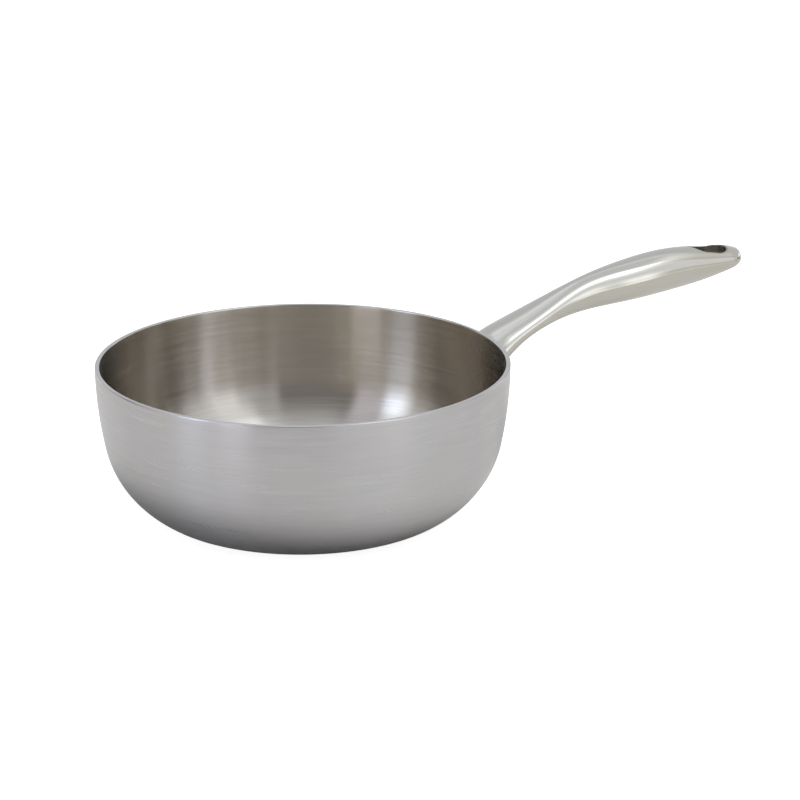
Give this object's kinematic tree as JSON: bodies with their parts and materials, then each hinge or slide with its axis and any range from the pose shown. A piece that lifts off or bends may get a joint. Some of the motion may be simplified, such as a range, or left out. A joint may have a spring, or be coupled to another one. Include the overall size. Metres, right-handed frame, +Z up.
{
  "type": "saucier pan",
  "caption": "Round-sided clad steel saucier pan with a flat base and a long, curved hollow handle that ends in a drop-shaped hanging hole.",
  "frame": {"origin": "centre of the flat base, on the surface that the pan stands on", "axes": "+Z up out of the bowl's mouth, +X from the bowl along the handle"},
  "size_m": [0.4421, 0.2456, 0.1247],
  "materials": {
    "outer_skin_steel": "satin, brushed round the bowl",
    "core_aluminium": "ground flush at the rim",
    "inner_skin_steel": "satin, brushed round the bowl",
    "handle_steel": "fine satin polish",
    "liner_steel": "drawn tube, unpolished",
    "foot_steel": "mill finish",
    "weld_steel": "weld metal, dressed smooth"
  },
  "bodies": {
    "root": {"outer_skin": "outer_skin_steel", "aluminium_core": "core_aluminium", "inner_skin": "inner_skin_steel", "handle_upper_shell": "handle_steel", "handle_lower_shell": "handle_steel", "hanging_hole_liner": "liner_steel", "handle_foot_plate": "foot_steel", "foot_plug_welds": "weld_steel", "root_weld_bead": "weld_steel"}
  },
  "joints": []
}
